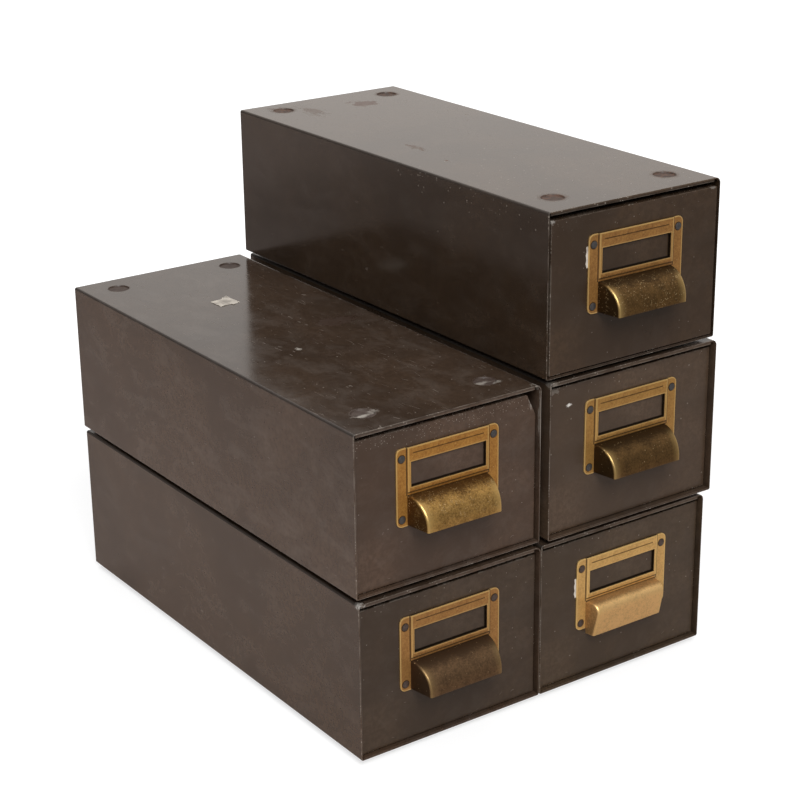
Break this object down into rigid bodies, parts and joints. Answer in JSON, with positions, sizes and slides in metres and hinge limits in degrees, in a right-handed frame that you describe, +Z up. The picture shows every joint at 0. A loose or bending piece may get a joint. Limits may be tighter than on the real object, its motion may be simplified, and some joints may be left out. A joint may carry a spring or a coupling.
{
  "type": "microfiche cabinet",
  "caption": "Stacked sheet-steel microfiche drawer units in brown enamel, each with a sliding drawer, a brass label-frame cup pull and an adjustable follower plate.",
  "frame": {"origin": "centre of the stack's bounding box at floor level, between the two columns of units", "axes": "+X to the right as seen from the drawer fronts, +Y to the back, +Z up; drawers open along -Y"},
  "size_m": [0.3292, 0.4358, 0.382],
  "materials": {
    "enamel": "worn semi-gloss dark brown stoving enamel",
    "brass": "aged, darkened on the hood",
    "rivet_steel": "darkened steel",
    "foot_steel": "enamel rubbed through to rusty steel",
    "bright_steel": "dull zinc plate"
  },
  "bodies": {
    "lower_left_unit": {"lower_left_casing": "enamel", "lower_left_casing_back": "enamel", "lower_left_stacking_feet": "foot_steel", "lower_left_drawer_runners": "enamel"},
    "lower_left_drawer": {"lower_left_drawer_tray": "enamel", "lower_left_drawer_front": "enamel", "lower_left_drawer_back": "enamel", "lower_left_card_frame_pull": "brass", "lower_left_pull_rivets": "rivet_steel"},
    "lower_left_follower": {"lower_left_follower_plate": "enamel", "lower_left_follower_bolt": "bright_steel"},
    "lower_left_thumb_nut": {"lower_left_follower_thumb_nut": "bright_steel"},
    "upper_left_unit": {"upper_left_casing": "enamel", "upper_left_casing_back": "enamel", "upper_left_stacking_feet": "foot_steel", "upper_left_drawer_runners": "enamel"},
    "upper_left_drawer": {"upper_left_drawer_tray": "enamel", "upper_left_drawer_front": "enamel", "upper_left_drawer_back": "enamel", "upper_left_card_frame_pull": "brass", "upper_left_pull_rivets": "rivet_steel"},
    "upper_left_follower": {"upper_left_follower_plate": "enamel", "upper_left_follower_bolt": "bright_steel"},
    "upper_left_thumb_nut": {"upper_left_follower_thumb_nut": "bright_steel"},
    "lower_right_unit": {"lower_right_casing": "enamel", "lower_right_casing_back": "enamel", "lower_right_stacking_feet": "foot_steel", "lower_right_drawer_runners": "enamel"},
    "lower_right_drawer": {"lower_right_drawer_tray": "enamel", "lower_right_drawer_front": "enamel", "lower_right_drawer_back": "enamel", "lower_right_card_frame_pull": "brass", "lower_right_pull_rivets": "rivet_steel"},
    "lower_right_follower": {"lower_right_follower_plate": "enamel", "lower_right_follower_bolt": "bright_steel"},
    "lower_right_thumb_nut": {"lower_right_follower_thumb_nut": "bright_steel"},
    "middle_right_unit": {"middle_right_casing": "enamel", "middle_right_casing_back": "enamel", "middle_right_stacking_feet": "foot_steel", "middle_right_drawer_runners": "enamel"},
    "middle_right_drawer": {"middle_right_drawer_tray": "enamel", "middle_right_drawer_front": "enamel", "middle_right_drawer_back": "enamel", "middle_right_card_frame_pull": "brass", "middle_right_pull_rivets": "rivet_steel"},
    "middle_right_follower": {"middle_right_follower_plate": "enamel", "middle_right_follower_bolt": "bright_steel"},
    "middle_right_thumb_nut": {"middle_right_follower_thumb_nut": "bright_steel"},
    "top_right_unit": {"top_right_casing": "enamel", "top_right_casing_back": "enamel", "top_right_stacking_feet": "foot_steel", "top_right_drawer_runners": "enamel"},
    "top_right_drawer": {"top_right_drawer_tray": "enamel", "top_right_drawer_front": "enamel", "top_right_drawer_back": "enamel", "top_right_card_frame_pull": "brass", "top_right_pull_rivets": "rivet_steel"},
    "top_right_follower": {"top_right_follower_plate": "enamel", "top_right_follower_bolt": "bright_steel"},
    "top_right_thumb_nut": {"top_right_follower_thumb_nut": "bright_steel"}
  },
  "joints": [
    {"name": "right_column_shift", "type": "slide", "parent": "lower_left_unit", "child": "lower_right_unit", "axis": [1, 0, 0], "range_m": [0, 0.15]},
    {"name": "upper_left_lift", "type": "slide", "parent": "lower_left_unit", "child": "upper_left_unit", "axis": [0, 0, 1], "range_m": [0, 0.2]},
    {"name": "middle_right_lift", "type": "slide", "parent": "lower_right_unit", "child": "middle_right_unit", "axis": [0, 0, 1], "range_m": [0, 0.2]},
    {"name": "top_right_lift", "type": "slide", "parent": "middle_right_unit", "child": "top_right_unit", "axis": [0, 0, 1], "range_m": [0, 0.2]},
    {"name": "lower_left_drawer_slide", "type": "slide", "parent": "lower_left_unit", "child": "lower_left_drawer", "axis": [0, -1, 0], "range_m": [-0.0026, 0.3189]},
    {"name": "lower_left_follower_slide", "type": "slide", "parent": "lower_left_drawer", "child": "lower_left_follower", "axis": [0, 1, 0], "range_m": [-0.2227, 0.0304]},
    {"name": "lower_left_nut_turn", "type": "hinge", "parent": "lower_left_follower", "child": "lower_left_thumb_nut", "pos_m": [-0.08255, 0.1026, 0.0154], "axis": [0, 0, 1], "continuous": true},
    {"name": "upper_left_drawer_slide", "type": "slide", "parent": "upper_left_unit", "child": "upper_left_drawer", "axis": [0, -1, 0], "range_m": [-0.0028, 0.3187]},
    {"name": "upper_left_follower_slide", "type": "slide", "parent": "upper_left_drawer", "child": "upper_left_follower", "axis": [0, 1, 0], "range_m": [-0.2227, 0.0304]},
    {"name": "upper_left_nut_turn", "type": "hinge", "parent": "upper_left_follower", "child": "upper_left_thumb_nut", "pos_m": [-0.08365, 0.1031, 0.1424], "axis": [0, 0, 1], "continuous": true},
    {"name": "lower_right_drawer_slide", "type": "slide", "parent": "lower_right_unit", "child": "lower_right_drawer", "axis": [0, -1, 0], "range_m": [-0.0021, 0.3194]},
    {"name": "lower_right_follower_slide", "type": "slide", "parent": "lower_right_drawer", "child": "lower_right_follower", "axis": [0, 1, 0], "range_m": [-0.2227, 0.0304]},
    {"name": "lower_right_nut_turn", "type": "hinge", "parent": "lower_right_follower", "child": "lower_right_thumb_nut", "pos_m": [0.07995, 0.103, 0.0154], "axis": [0, 0, 1], "continuous": true},
    {"name": "middle_right_drawer_slide", "type": "slide", "parent": "middle_right_unit", "child": "middle_right_drawer", "axis": [0, -1, 0], "range_m": [-0.0014, 0.3201]},
    {"name": "middle_right_follower_slide", "type": "slide", "parent": "middle_right_drawer", "child": "middle_right_follower", "axis": [0, 1, 0], "range_m": [-0.2227, 0.0304]},
    {"name": "middle_right_nut_turn", "type": "hinge", "parent": "middle_right_follower", "child": "middle_right_thumb_nut", "pos_m": [0.08365, 0.1009, 0.1424], "axis": [0, 0, 1], "continuous": true},
    {"name": "top_right_drawer_slide", "type": "slide", "parent": "top_right_unit", "child": "top_right_drawer", "axis": [0, -1, 0], "range_m": [-0.0058, 0.3157]},
    {"name": "top_right_follower_slide", "type": "slide", "parent": "top_right_drawer", "child": "top_right_follower", "axis": [0, 1, 0], "range_m": [-0.2227, 0.0304]},
    {"name": "top_right_nut_turn", "type": "hinge", "parent": "top_right_follower", "child": "top_right_thumb_nut", "pos_m": [0.07865, 0.0955, 0.2694], "axis": [0, 0, 1], "continuous": true}
  ]
}
